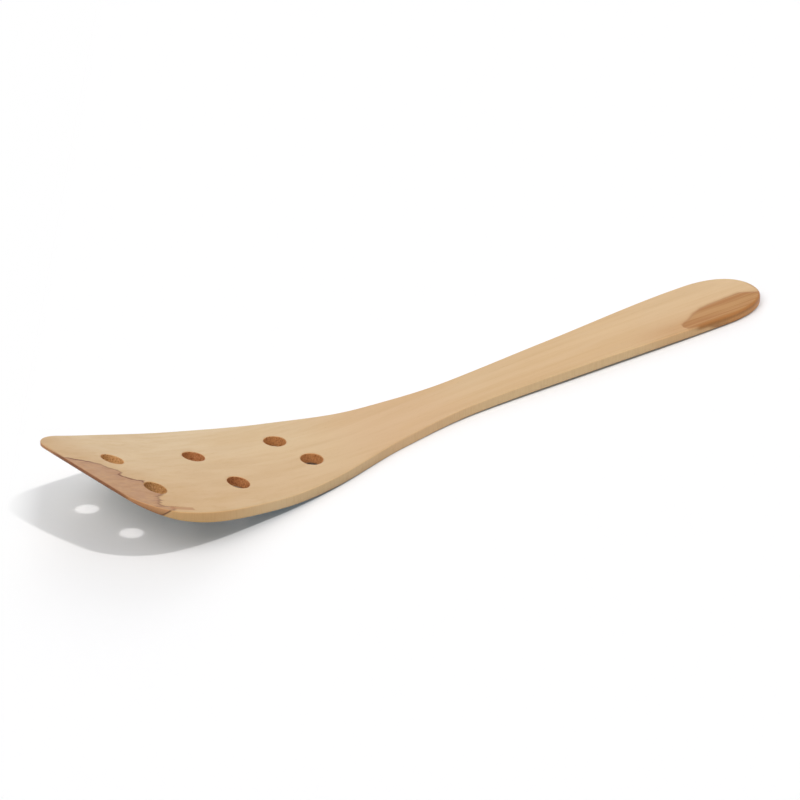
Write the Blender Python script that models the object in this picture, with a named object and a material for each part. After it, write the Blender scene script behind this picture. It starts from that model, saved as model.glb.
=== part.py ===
"""A wooden kitchen spatula: a swept-up blade and a long handle, cut from one board.

Metres, +Z up. +X runs from the blade to the end of the handle and +Y to the blade's far side.
The origin is on the handle's flat underside, halfway along the spatula.
"""

import math

import bmesh
import bpy
import numpy as np
from mathutils import Matrix, Vector

# Lengths along the spatula, from the middle of the front edge unless said otherwise
LENGTH = 0.300
WIDEST_AT = 0.0305
CHEEK_AT = 0.060
SHOULDER_AT = 0.090
THROAT_AT = 0.125
NECK_AT = 0.160
GRIP_AT = 0.205
HANDLE_END = 0.0234  # length of the rounded end of the handle

# Widths at those places
FRONT_WIDTH = 0.0550
BLADE_WIDTH = 0.0609
CHEEK_WIDTH = 0.0559
SHOULDER_WIDTH = 0.0442
THROAT_WIDTH = 0.0265
NECK_WIDTH = 0.0193
GRIP_WIDTH = 0.0222
HANDLE_WIDTH = 0.0283

# The middle line strays a little from side to side, as hand shaping leaves it
CHEEK_OFFSET = 0.0004
SHOULDER_OFFSET = -0.0006
THROAT_OFFSET = -0.0014
NECK_OFFSET = -0.0014
GRIP_OFFSET = -0.0013
END_OFFSET = -0.0009

# Front edge and corners
FRONT_SKEW = 0.0066  # how far the front edge's far end lies ahead of its middle
FRONT_BOW = 0.0037  # how far both ends of the front edge curve back
NEAR_CORNER = 0.0127
FAR_CORNER = 0.0124
ROUND_CORNER = 0.5523  # handle length that makes a cubic curve a quarter circle
END_FULLNESS = 0.63  # a fuller curve than a quarter ellipse
STEP = 1e-4  # short length over which a slope is measured
SETTLING = 4  # passes that settle where a rounded corner meets its side

# Board and edges
THICKNESS = 0.0042
FRONT_THICKNESS = 0.0008
TAPER_LENGTH = 0.0272
EDGE_RADIUS = 0.0005
END_RADIUS = 0.0012  # the edge is rounder towards the end of the handle
EDGE_SHARE = 0.45  # an edge is never rounded by more than this share of the board

# Sweep of the blade
BEND_START = 0.1176
BEND_RADIUS = 0.264
LIP_LENGTH = 0.0136  # straight stretch ahead of the bend
CROWN = 0.0020  # the middle of the blade stands this much above its sides
TWIST = 0.0008  # the far side is lifted, and the near side lowered, by this much
CROWN_RUN = 0.050  # crown and twist grow to their full height over this length of the bend

# The handle swells in thickness from here to its end, the most halfway
SWELL = 0.0009
SWELL_START = 0.115

# Drain holes, in three pairs: (distance from the front, distance from the middle line)
HOLE_DIAMETER = 0.0080
HOLE_CHAMFER = 0.0004
HOLE_PLACES = (
    (0.0183, 0.0072),
    (0.0217, -0.0141),
    (0.0506, 0.0069),
    (0.0552, -0.0138),
    (0.0852, 0.0079),
    (0.0894, -0.0086),
)
CUTTER_REACH = 0.0012  # how far a cutter stands out of the wood on each side

# Fineness of the mesh
ROWS = 60
COLUMNS = 14
EVEN_SHARE = 0.5  # share of the spacing that is even; the rest crowds the ends
EDGE_STEPS = 3
HOLE_STEPS = 24
FINE = 400  # points used to measure along a curve
MERGE = 1e-7
SHARP_ANGLE = math.radians(35)

WOOD_COLOUR = (0.708, 0.491, 0.287, 1.0)
WOOD_ROUGHNESS = 0.55


def through(stations, x):
    """Smooth curve through (place, value) pairs that never overshoots between two of them."""
    places, values = np.array(stations).T
    gaps = np.diff(places)
    rises = np.diff(values) / gaps
    slopes = np.zeros(len(places))
    for i in range(1, len(places) - 1):
        before, after = rises[i - 1], rises[i]
        if before * after > 0.0:
            weight_before = 2.0 * gaps[i] + gaps[i - 1]
            weight_after = gaps[i] + 2.0 * gaps[i - 1]
            slopes[i] = (weight_before + weight_after) / (weight_before / before + weight_after / after)
    i = np.clip(np.searchsorted(places, x) - 1, 0, len(gaps) - 1)
    t = np.clip((x - places[i]) / gaps[i], 0.0, 1.0)
    start = (1.0 + 2.0 * t) * (1.0 - t) ** 2 * values[i] + t * (1.0 - t) ** 2 * gaps[i] * slopes[i]
    finish = t * t * (3.0 - 2.0 * t) * values[i + 1] + t * t * (t - 1.0) * gaps[i] * slopes[i + 1]
    return start + finish


def side(x, sign):
    """Y of the far side (sign 1) or the near side (sign -1) at distance x from the front."""
    handle_at = LENGTH - HANDLE_END
    width = through(
        (
            (0.0, FRONT_WIDTH),
            (WIDEST_AT, BLADE_WIDTH),
            (CHEEK_AT, CHEEK_WIDTH),
            (SHOULDER_AT, SHOULDER_WIDTH),
            (THROAT_AT, THROAT_WIDTH),
            (NECK_AT, NECK_WIDTH),
            (GRIP_AT, GRIP_WIDTH),
            (handle_at, HANDLE_WIDTH),
        ),
        x,
    )
    middle = through(
        (
            (WIDEST_AT, 0.0),
            (CHEEK_AT, CHEEK_OFFSET),
            (SHOULDER_AT, SHOULDER_OFFSET),
            (THROAT_AT, THROAT_OFFSET),
            (NECK_AT, NECK_OFFSET),
            (GRIP_AT, GRIP_OFFSET),
            (handle_at, 0.0),
        ),
        x,
    )
    return middle + sign * width / 2.0


def front(y):
    """X of the front edge at distance y from the middle line."""
    share = y / (BLADE_WIDTH / 2.0)
    return FRONT_BOW * share**2 - FRONT_SKEW * share


def swell(x):
    """How much thicker the handle is at distance x from the front."""
    span = np.clip((x - SWELL_START) / (LENGTH - SWELL_START), 0.0, 1.0)
    return SWELL * (4.0 * span * (1.0 - span)) ** 2


def top(x, y):
    """Height of the top face, which crowns, twists and sweeps up towards the front."""
    bend_length = BEND_START - LIP_LENGTH
    along_bend = np.clip(BEND_START - x, 0.0, bend_length)
    lip_slope = bend_length / BEND_RADIUS
    sweep = along_bend**2 / (2.0 * BEND_RADIUS) + np.clip(LIP_LENGTH - x, 0.0, None) * lip_slope
    run = np.clip((BEND_START - x) / CROWN_RUN, 0.0, 1.0)
    fade = run * run * (3.0 - 2.0 * run)
    share = y / (BLADE_WIDTH / 2.0)
    return THICKNESS + swell(x) + sweep + fade * (TWIST * share - CROWN * share**2)


def thickness(x, y):
    """Thickness of the board, which swells along the handle and thins to the front edge."""
    share = np.clip((x - front(y)) / TAPER_LENGTH, 0.0, 1.0)
    tapered = FRONT_THICKNESS + (THICKNESS - FRONT_THICKNESS) * np.sqrt(1.0 - (1.0 - share) ** 2)
    return tapered + swell(x)


def bottom(x, y):
    return top(x, y) - thickness(x, y)


def edge_radius(x, y):
    """Radius of the edge, which is never too large for the board."""
    run = np.clip((x - GRIP_AT) / (LENGTH - HANDLE_END - GRIP_AT), 0.0, 1.0)
    return np.minimum(EDGE_RADIUS + (END_RADIUS - EDGE_RADIUS) * run, EDGE_SHARE * thickness(x, y))


def curve(start, corner, end, fullness):
    """Cubic curve from start to end, drawn towards the corner."""
    t = np.linspace(0.0, 1.0, FINE)[:, None]
    leave = start + (corner - start) * fullness
    arrive = end + (corner - end) * fullness
    return start * (1 - t) ** 3 + 3 * leave * t * (1 - t) ** 2 + 3 * arrive * t**2 * (1 - t) + end * t**3


def front_corner(radius, sign):
    """Rounded corner from the front edge to one side."""
    x = radius
    for _ in range(SETTLING):
        x = front(side(x, sign)) + radius
    y = side(x, sign) - sign * radius
    start = np.array((front(y), y))
    end = np.array((x, side(x, sign)))
    along_front = np.array((front(y + sign * STEP) - front(y), sign * STEP))
    along_side = np.array((STEP, side(x + STEP, sign) - side(x, sign)))
    lengths = np.linalg.solve(np.array((along_front, along_side)).T, end - start)
    return curve(start, start + along_front * lengths[0], end, ROUND_CORNER)


def handle_corner(sign):
    """Rounded end of the handle, from one side to its last point."""
    start = np.array((LENGTH - HANDLE_END, side(LENGTH - HANDLE_END, sign)))
    end = np.array((LENGTH, END_OFFSET))
    return curve(start, np.array((end[0], start[1])), end, END_FULLNESS)


def graded(count):
    """Shares from 0 to 1 that crowd towards both ends."""
    even = np.linspace(0.0, 1.0, count + 1)
    crowded = (1.0 - np.cos(math.pi * even)) / 2.0
    return EVEN_SHARE * even + (1.0 - EVEN_SHARE) * crowded


def spaced(points, count):
    """The curve through points, cut into count graded steps."""
    lengths = np.r_[0.0, np.cumsum(np.linalg.norm(np.diff(points, axis=0), axis=1))]
    wanted = graded(count) * lengths[-1]
    return np.stack([np.interp(wanted, lengths, points[:, axis]) for axis in (0, 1)], axis=-1)


def outline():
    """The board's plan as one loop, counterclockwise from the middle of the near front corner."""
    half = FINE // 2
    near_front = front_corner(NEAR_CORNER, -1)
    far_front = front_corner(FAR_CORNER, 1)
    near_end = handle_corner(-1)
    far_end = handle_corner(1)
    edge_y = np.linspace(near_front[0, 1], far_front[0, 1], FINE)
    edge = np.stack((front(edge_y), edge_y), axis=-1)
    side_runs = {}
    for sign, corner, end in ((-1, near_front, near_end), (1, far_front, far_end)):
        x = np.linspace(corner[-1, 0], end[0, 0], FINE)
        straight = np.stack((x, side(x, sign)), axis=-1)
        side_runs[sign] = np.vstack((corner[half:], straight[1:-1], end[:half]))
    runs = (
        spaced(side_runs[-1], ROWS),
        spaced(np.vstack((near_end[half - 1 :], far_end[half - 1 : -1][::-1])), COLUMNS),
        spaced(side_runs[1], ROWS)[::-1],
        spaced(np.vstack((near_front[: half + 1][::-1], edge[1:-1], far_front[: half + 1])), COLUMNS)[::-1],
    )
    return np.vstack([run[:-1] for run in runs])


def inward(loop):
    """Unit normals of a counterclockwise loop, pointing into it."""
    along = np.roll(loop, -1, axis=0) - np.roll(loop, 1, axis=0)
    along /= np.linalg.norm(along, axis=1)[:, None]
    return np.stack((-along[:, 1], along[:, 0]), axis=-1)


def filled(loop):
    """Grid of plan points inside the loop, rows along the spatula and columns across it."""
    near = loop[: ROWS + 1]
    end = loop[ROWS : ROWS + COLUMNS + 1]
    far = loop[ROWS + COLUMNS : 2 * ROWS + COLUMNS + 1][::-1]
    front_run = np.vstack((loop[2 * ROWS + COLUMNS :], loop[:1]))[::-1]
    u = graded(ROWS)[:, None, None]
    v = graded(COLUMNS)[None, :, None]
    across = (1 - v) * near[:, None] + v * far[:, None]
    along = (1 - u) * front_run[None] + u * end[None]
    corners = (1 - u) * ((1 - v) * near[0] + v * far[0]) + u * ((1 - v) * near[-1] + v * far[-1])
    return across + along - corners


def board_mesh():
    """The board without its holes: two faces, joined by a rounded edge all the way round."""
    loop = outline()
    normals = inward(loop)
    radius = edge_radius(*loop.T)[:, None]
    grid = filled(loop + normals * radius)
    mesh = bmesh.new()

    def vertices(plan, height):
        return [mesh.verts.new((x - LENGTH / 2.0, y, z)) for (x, y), z in zip(plan, height)]

    faces = {}
    for name, surface in (("top", top), ("bottom", bottom)):
        faces[name] = [vertices(row, surface(*row.T)) for row in grid]

    def rim(rows):
        near = [row[0] for row in rows[:-1]]
        end = rows[-1][:-1]
        far = [row[-1] for row in rows[:0:-1]]
        return near + end + far + rows[0][:0:-1]

    angles = [math.pi / 2.0 * step / EDGE_STEPS for step in range(1, EDGE_STEPS + 1)]
    rings = [rim(faces["top"])]
    for angle in angles:
        plan = loop + normals * radius * (1.0 - math.sin(angle))
        rings.append(vertices(plan, top(*plan.T) - radius[:, 0] * (1.0 - math.cos(angle))))
    for angle in reversed(angles):
        plan = loop + normals * radius * (1.0 - math.sin(angle))
        rings.append(vertices(plan, bottom(*plan.T) + radius[:, 0] * (1.0 - math.cos(angle))))
    rings.append(rim(faces["bottom"]))

    for i in range(ROWS):
        for j in range(COLUMNS):
            for name, order in (("top", 1), ("bottom", -1)):
                rows = faces[name]
                corners = (rows[i][j], rows[i + 1][j], rows[i + 1][j + 1], rows[i][j + 1])
                mesh.faces.new(corners[::order])
    for upper, lower in zip(rings[:-1], rings[1:]):
        for k in range(len(loop)):
            after = (k + 1) % len(loop)
            mesh.faces.new((upper[k], lower[k], lower[after], upper[after]))
    return mesh


def cutter_place(x, y):
    """Where a hole's cutter stands: on the top face, its axis square to that face."""
    slope_x = (top(x + STEP, y) - top(x - STEP, y)) / (2.0 * STEP)
    slope_y = (top(x, y + STEP) - top(x, y - STEP)) / (2.0 * STEP)
    axis = Vector((-slope_x, -slope_y, 1.0)).normalized()
    turn = axis.to_track_quat("Z", "Y").to_matrix().to_4x4()
    depth = thickness(x, y) * axis.z
    return Matrix.Translation((x - LENGTH / 2.0, y, top(x, y))) @ turn, depth


def cutters_mesh():
    """One turned cutter for each drain hole, flared at both faces to break the rims' edges."""
    mesh = bmesh.new()
    radius = HOLE_DIAMETER / 2.0
    wide = radius + HOLE_CHAMFER + CUTTER_REACH
    for x, y in HOLE_PLACES:
        place, depth = cutter_place(x, y)
        profile = (
            (0.0, CUTTER_REACH),
            (wide, CUTTER_REACH),
            (radius, -HOLE_CHAMFER),
            (radius, HOLE_CHAMFER - depth),
            (wide, -depth - CUTTER_REACH),
            (0.0, -depth - CUTTER_REACH),
        )
        earlier = set(mesh.verts)
        points = [mesh.verts.new((r, 0.0, z)) for r, z in profile]
        edges = [mesh.edges.new(pair) for pair in zip(points[:-1], points[1:])]
        bmesh.ops.spin(
            mesh,
            geom=points + edges,
            axis=(0.0, 0.0, 1.0),
            angle=math.tau,
            steps=HOLE_STEPS,
        )
        turned = [vertex for vertex in mesh.verts if vertex not in earlier]
        bmesh.ops.transform(mesh, matrix=place, verts=turned)
    bmesh.ops.remove_doubles(mesh, verts=mesh.verts, dist=MERGE)
    bmesh.ops.recalc_face_normals(mesh, faces=mesh.faces)
    return mesh


def new_object(name, mesh):
    data = bpy.data.meshes.new(name)
    mesh.to_mesh(data)
    mesh.free()
    obj = bpy.data.objects.new(name, data)
    bpy.context.scene.collection.objects.link(obj)
    return obj


def wood():
    """Pale, close-grained wood, sanded and lightly oiled."""
    material = bpy.data.materials.new("wood")
    material.use_nodes = True
    shader = material.node_tree.nodes["Principled BSDF"]
    shader.inputs["Base Color"].default_value = WOOD_COLOUR
    shader.inputs["Roughness"].default_value = WOOD_ROUGHNESS
    shader.inputs["Metallic"].default_value = 0.0
    return material


def main():
    for obj in list(bpy.data.objects):
        bpy.data.objects.remove(obj)

    spatula = new_object("spatula", board_mesh())
    spatula.data.materials.append(wood())

    cutters = new_object("drain_hole_cutters", cutters_mesh())
    cutters.hide_render = True
    cutters.display_type = "WIRE"

    drill = spatula.modifiers.new("drain_holes", "BOOLEAN")
    drill.operation = "DIFFERENCE"
    drill.solver = "EXACT"
    drill.object = cutters

    spatula.data.shade_smooth()
    spatula.data.set_sharp_from_angle(angle=SHARP_ANGLE)


main()
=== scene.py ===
"""A wooden spatula with drain holes, dressed round its CAD frame.

Metres, +Z up. +X runs from the blade to the end of the handle and +Y to the blade's far side.
The origin is on the flat underside of the handle, halfway along the spatula.
"""

import math

import bpy
import numpy as np
from mathutils import Matrix, Vector


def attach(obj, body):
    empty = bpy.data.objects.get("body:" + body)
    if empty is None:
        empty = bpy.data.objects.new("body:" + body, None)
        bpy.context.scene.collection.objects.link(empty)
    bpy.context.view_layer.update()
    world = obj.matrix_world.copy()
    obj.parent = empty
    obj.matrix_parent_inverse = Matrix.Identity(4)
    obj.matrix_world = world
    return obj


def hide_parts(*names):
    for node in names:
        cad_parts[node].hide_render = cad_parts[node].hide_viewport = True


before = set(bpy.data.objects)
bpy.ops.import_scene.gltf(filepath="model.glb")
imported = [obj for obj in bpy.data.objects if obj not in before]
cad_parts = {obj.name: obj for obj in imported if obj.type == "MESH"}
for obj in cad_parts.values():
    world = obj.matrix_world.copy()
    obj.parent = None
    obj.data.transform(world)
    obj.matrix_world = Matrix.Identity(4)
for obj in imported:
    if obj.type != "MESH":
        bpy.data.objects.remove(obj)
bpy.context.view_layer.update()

# Lengths along the spatula, from the middle of the front edge unless said otherwise
LENGTH = 0.300
WIDEST_AT = 0.0305
CHEEK_AT = 0.060
SHOULDER_AT = 0.090
THROAT_AT = 0.125
NECK_AT = 0.160
GRIP_AT = 0.205
HANDLE_END = 0.0234  # length of the rounded end of the handle

# Widths at those places
FRONT_WIDTH = 0.0550
BLADE_WIDTH = 0.0609
CHEEK_WIDTH = 0.0559
SHOULDER_WIDTH = 0.0442
THROAT_WIDTH = 0.0265
NECK_WIDTH = 0.0193
GRIP_WIDTH = 0.0222
HANDLE_WIDTH = 0.0283

# The middle line strays a little from side to side, as hand shaping leaves it
CHEEK_OFFSET = 0.0004
SHOULDER_OFFSET = -0.0006
THROAT_OFFSET = -0.0014
NECK_OFFSET = -0.0014
GRIP_OFFSET = -0.0013
END_OFFSET = -0.0009

# Front edge and corners
FRONT_SKEW = 0.0066  # how far the front edge's far end lies ahead of its middle
FRONT_BOW = 0.0037  # how far both ends of the front edge curve back
NEAR_CORNER = 0.0127
FAR_CORNER = 0.0124
ROUND_CORNER = 0.5523  # handle length that makes a cubic curve a quarter circle
END_FULLNESS = 0.63  # a fuller curve than a quarter ellipse
STEP = 1e-4  # short length over which a slope is measured
SETTLING = 4  # passes that settle where a rounded corner meets its side

# Board, edges and sweep of the blade
THICKNESS = 0.0042
FRONT_THICKNESS = 0.0008
TAPER_LENGTH = 0.0272
EDGE_RADIUS = 0.0005
END_RADIUS = 0.0012  # the edge is rounder towards the end of the handle
EDGE_SHARE = 0.45  # an edge is never rounded by more than this share of the board
BEND_START = 0.1176
BEND_RADIUS = 0.264
LIP_LENGTH = 0.0136  # straight stretch ahead of the bend
CROWN = 0.0020  # the middle of the blade stands this much above its sides
TWIST = 0.0008  # the far side is lifted, and the near side lowered, by this much
CROWN_RUN = 0.050  # crown and twist grow to their full height over this length of the bend

# The handle's top face swells up from here to its end, and its underside is a little hollow
SWELL = 0.0009
HOLLOW = 0.0009
SWELL_START = 0.115

# Drain holes: (distance from the front, distance from the middle line), a pair to a row
HOLE_RADIUS = 0.0040
HOLE_RIM = 0.00045  # radius of the softened rim of a hole
HOLE_PLACES = (
    (0.0183, 0.0072), (0.0217, -0.0141),
    (0.0506, 0.0069), (0.0552, -0.0138),
    (0.0852, 0.0079), (0.0894, -0.0086),
)
CUTTER_REACH = 0.0012  # how far a cutter stands out of the wood on each side
SLIVER = 0.000002  # corners of the mesh closer together than this become one
PROBE = 0.010  # how far off the wood a probing ray starts
OVERHEAD = 1.0  # a ray that looks straight down starts this far above
ROD = 0.001  # half the rod that a cutter is made from; its rings find their places later

# Fineness of the mesh
ROWS = 330
COLUMNS = 52
EVEN_SHARE = 0.7  # share of the spacing that is even; the rest crowds the ends
EDGE_STEPS = 7
SHELF = 0.0020  # the even grid of a face ends this far inside the outline
HOLE_STEPS = 72
RIM_STEPS = 7
FINE = 1600  # points used to measure along a curve

# Camera and light, worked out from the outline, the holes and the light spots on the ground
CAMERA_DISTANCE = 1.300
CAMERA_HEIGHT = math.radians(29.820)
CAMERA_TURN = math.radians(36.496)
CAMERA_AIM = (-0.00596, 0.01372, 0.0)
LENS = 162.24
FARTHEST_SEEN = 100.0
KEY_DIRECTION = (0.211, -0.466, 1.0)
KEY_SIZE = math.radians(2.5)
KEY_STRENGTH = 1.02

# Soft lights: height above the ground, turn from the camera's side towards the left, both in
# degrees, narrowness and brightness
SOFT_LIGHTS = (
    (90.0, 0.0, 2.0, 0.48),  # the white ceiling
    (49.6, 49.0, 30.0, 5.75),  # a panel behind the camera, to the left
    (34.0, 179.0, 24.0, 2.30),  # a panel on the far side
    (62.9, -60.9, 60.0, 2.00),  # a soft ring round the key lamp
)

# The wood's markings, in mm
MM = 1000.0  # mm in a metre

# The heartwood's edge at the near front corner, as (distance from the middle line, from the front)
HEART_EDGE = (
    (-33.0, 8.0), (-31.2, 12.3), (-29.75, 16.0), (-28.5, 19.4), (-27.6, 20.6), (-26.6, 20.0),
    (-26.35, 17.1), (-25.7, 16.3), (-24.6, 15.9), (-24.0, 17.2), (-23.3, 16.9), (-22.7, 18.3),
    (-21.6, 17.8), (-21.1, 18.6), (-20.4, 18.1), (-19.6, 19.9), (-18.0, 22.4), (-14.0, 21.0),
    (-11.7, 18.9), (-9.6, 19.4), (-8.6, 16.2), (-6.7, 13.5), (-5.4, 12.9), (-3.6, 14.9),
    (-1.9, 14.1), (-0.2, 11.7), (2.4, 10.4), (4.2, 6.7), (6.7, -0.5), (7.6, -4.0),
    (10.0, -4.0),
)
HEART_REACHES = 30.0  # highest value on the drawn curve
CURVES_BEGIN = -4.0  # lowest value on the drawn curves
HEART_BESIDE = 0.05  # a second reading this far beside the first gives the edge's slope
HEART_WANDER = 1.1  # the edge wanders over this width
HEART_LEAN = 2.0  # the edge lies this much further forward for each unit of depth
LINE_BLUR = 0.5  # the dark line along the edge spreads by up to this much
LINE_FADES = (2.6, -0.65)  # strength of the line: gain and start
LINE_FAINTEST = 0.55

# A dark dash beside the near side: its middle as (distance from the front, from the middle line)
DASH = (23.4, -27.6)
DASH_TILT = 0.10

CRACK_AT = 18.2  # a crack crosses the near side here; ahead of it the side is heartwood
CRACK_LEAN = 1.05  # it lies this much further forward for each unit of depth

WARM_NECK = 132.0  # the wood is a shade warmer round the neck, this far from the front
MIDDLE_PAIR = 53.0  # the walls of the holes at this distance from the front are the darkest

# The tongue of heartwood in the handle, as (distance from the front, half its width)
TONGUE_WIDTHS = (
    (255.0, -3.5), (256.3, 0.2), (256.8, 1.1), (258.6, 1.9), (261.2, 2.4), (265.3, 3.9), (270.6, 5.75),
    (275.0, 6.6), (281.0, 6.9), (291.0, 7.0), (294.0, 5.4), (296.7, 3.8), (298.0, 3.0), (301.0, 2.0),
)
TONGUE_WIDEST = 8.0  # highest value on the drawn curve
TONGUE_MIDDLE = (-10.0, 4.6)  # its middle line: across and up
TONGUE_TURN = 266.0  # short of here its middle line leans towards the near side
TONGUE_LEAN = 0.17
TONGUE_WANDER = 1.6  # its middle line wanders over this width
TONGUE_THIN = 1.3  # it is this much wider than it is thick

# The satin finish: from faint to strong streaks the wood grows rougher
STREAK_SPAN = (0.3, 0.7)
ROUGHNESS = (0.50, 0.62)
RELIEF = 0.35
RELIEF_DEPTH = 0.00002  # in metres

# The ground
GROUND_REACH = 6.0
GROUND_SHADE = "ccd8e0"  # what the ground sends back on to the wood
UNDER_BLADE = "404c5c"  # the same, under the blade
OVAL_EDGE = 0.15  # softness of the ovals below, as a share of their reach
UNDER_MIDDLE = (-0.095, 0.0, 0.0)
UNDER_REACH = (0.070, 0.030, 1.0)
# The camera sees the light on the ground in PAPER and, to make up the rest of the white, a faint
# cool GLOW, which greys the warm light that the wood throws into its shadow
PAPER = "f8f5f4"
GLOW = "465259"
GLOW_CLEAR = 0.002  # nearer to the wood than this the glow dies away
GLOW_SPAN = (0.1, 0.6)  # it grows from none to full between these shares of open surroundings
GLOW_RAYS = 16  # rays that measure how open a place is
CLOSE_GLOW = "60493a"  # close under the blade a painted warm glow, standing in for the wood's warm light, takes the cool glow's place
CLOSE_MIDDLE = (-0.068, 0.003, 0.0)
CLOSE_REACH = (0.026, 0.013, 1.0)
MELT_FROM = 0.1355  # the shadow begins to melt into the white this far left of the middle
MELT_TO = 0.1485


def linear(code):
    """Linear colour of an sRGB hex value."""
    shares = [int(code[i : i + 2], 16) / 255.0 for i in (0, 2, 4)]
    light = [c / 12.92 if c <= 0.04045 else ((c + 0.055) / 1.055) ** 2.4 for c in shares]
    return (*light, 1.0)


def feed(tree, value, socket):
    """Sets a socket to a value, or links it to a socket or to the live output of a node."""
    if isinstance(value, bpy.types.Node):
        value = next(s for s in value.outputs if s.enabled)
    if isinstance(value, bpy.types.NodeSocket):
        tree.links.new(value, socket)
    else:
        socket.default_value = value


def add(tree, kind, inputs=(), **settings):
    """Adds a node with its settings, and feeds each of its inputs."""
    node = tree.nodes.new(kind)
    for name, value in settings.items():
        setattr(node, name, value)
    for key, value in dict(inputs).items():
        named = [socket for socket in node.inputs if socket.enabled and socket.name == key]
        feed(tree, value, named[0] if named else node.inputs[key])
    return node


def new_tree(name, sizes):
    """A Geometry Nodes tree with a named input for each size, and the sockets of those inputs."""
    kinds = {float: "NodeSocketFloat", int: "NodeSocketInt"}
    kinds.update({bpy.types.Object: "NodeSocketObject", bpy.types.Material: "NodeSocketMaterial"})
    tree = bpy.data.node_groups.new(name, "GeometryNodeTree")
    tree.interface.new_socket("Geometry", in_out="INPUT", socket_type="NodeSocketGeometry")
    for label, value in sizes.items():
        tree.interface.new_socket(label, in_out="INPUT", socket_type=kinds[type(value)])
    tree.interface.new_socket("Geometry", in_out="OUTPUT", socket_type="NodeSocketGeometry")
    return tree, add(tree, "NodeGroupInput").outputs


def fit_tree(piece, tree, sizes):
    """Puts the tree on a piece and sets its inputs by their identifiers."""
    modifier = piece.modifiers.new(tree.name, "NODES")
    modifier.node_group = tree
    for item in tree.interface.items_tree:
        if item.in_out == "INPUT" and item.name in sizes:
            modifier[item.identifier] = sizes[item.name]


# The flat blank


def through(stations, x):
    """Smooth curve through (place, value) pairs that never overshoots between two of them."""
    places, values = np.array(stations).T
    gaps = np.diff(places)
    rises = np.diff(values) / gaps
    slopes = np.zeros(len(places))
    for i in range(1, len(places) - 1):
        before, after = rises[i - 1], rises[i]
        if before * after > 0.0:
            weight_before = 2.0 * gaps[i] + gaps[i - 1]
            weight_after = gaps[i] + 2.0 * gaps[i - 1]
            slopes[i] = (weight_before + weight_after) / (weight_before / before + weight_after / after)
    i = np.clip(np.searchsorted(places, x) - 1, 0, len(gaps) - 1)
    t = np.clip((x - places[i]) / gaps[i], 0.0, 1.0)
    start = (1.0 + 2.0 * t) * (1.0 - t) ** 2 * values[i] + t * (1.0 - t) ** 2 * gaps[i] * slopes[i]
    finish = t * t * (3.0 - 2.0 * t) * values[i + 1] + t * t * (t - 1.0) * gaps[i] * slopes[i + 1]
    return start + finish


def side(x, sign):
    """Y of the far side (sign 1) or the near side (sign -1) at distance x from the front."""
    handle_at = LENGTH - HANDLE_END
    width = through(
        (
            (0.0, FRONT_WIDTH),
            (WIDEST_AT, BLADE_WIDTH),
            (CHEEK_AT, CHEEK_WIDTH),
            (SHOULDER_AT, SHOULDER_WIDTH),
            (THROAT_AT, THROAT_WIDTH),
            (NECK_AT, NECK_WIDTH),
            (GRIP_AT, GRIP_WIDTH),
            (handle_at, HANDLE_WIDTH),
        ),
        x,
    )
    middle = through(
        (
            (WIDEST_AT, 0.0),
            (CHEEK_AT, CHEEK_OFFSET),
            (SHOULDER_AT, SHOULDER_OFFSET),
            (THROAT_AT, THROAT_OFFSET),
            (NECK_AT, NECK_OFFSET),
            (GRIP_AT, GRIP_OFFSET),
            (handle_at, 0.0),
        ),
        x,
    )
    return middle + sign * width / 2.0


def front(y):
    """X of the front edge at distance y from the middle line."""
    share = y / (BLADE_WIDTH / 2.0)
    return FRONT_BOW * share**2 - FRONT_SKEW * share


def curve(start, corner, end, fullness):
    """Cubic curve from start to end, drawn towards the corner."""
    t = np.linspace(0.0, 1.0, FINE)[:, None]
    leave = start + (corner - start) * fullness
    arrive = end + (corner - end) * fullness
    return start * (1 - t) ** 3 + 3 * leave * t * (1 - t) ** 2 + 3 * arrive * t**2 * (1 - t) + end * t**3


def front_corner(radius, sign):
    """Rounded corner from the front edge to one side."""
    x = radius
    for _ in range(SETTLING):
        x = front(side(x, sign)) + radius
    y = side(x, sign) - sign * radius
    start = np.array((front(y), y))
    end = np.array((x, side(x, sign)))
    along_front = np.array((front(y + sign * STEP) - front(y), sign * STEP))
    along_side = np.array((STEP, side(x + STEP, sign) - side(x, sign)))
    lengths = np.linalg.solve(np.array((along_front, along_side)).T, end - start)
    return curve(start, start + along_front * lengths[0], end, ROUND_CORNER)


def handle_corner(sign):
    """Rounded end of the handle, from one side to its last point."""
    start = np.array((LENGTH - HANDLE_END, side(LENGTH - HANDLE_END, sign)))
    end = np.array((LENGTH, END_OFFSET))
    return curve(start, np.array((end[0], start[1])), end, END_FULLNESS)


def graded(count):
    """Shares from 0 to 1 that crowd towards both ends."""
    even = np.linspace(0.0, 1.0, count + 1)
    crowded = (1.0 - np.cos(math.pi * even)) / 2.0
    return EVEN_SHARE * even + (1.0 - EVEN_SHARE) * crowded


def spaced(points, count):
    """The curve through points, cut into count graded steps."""
    lengths = np.r_[0.0, np.cumsum(np.linalg.norm(np.diff(points, axis=0), axis=1))]
    wanted = graded(count) * lengths[-1]
    return np.stack([np.interp(wanted, lengths, points[:, axis]) for axis in (0, 1)], axis=-1)


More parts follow.
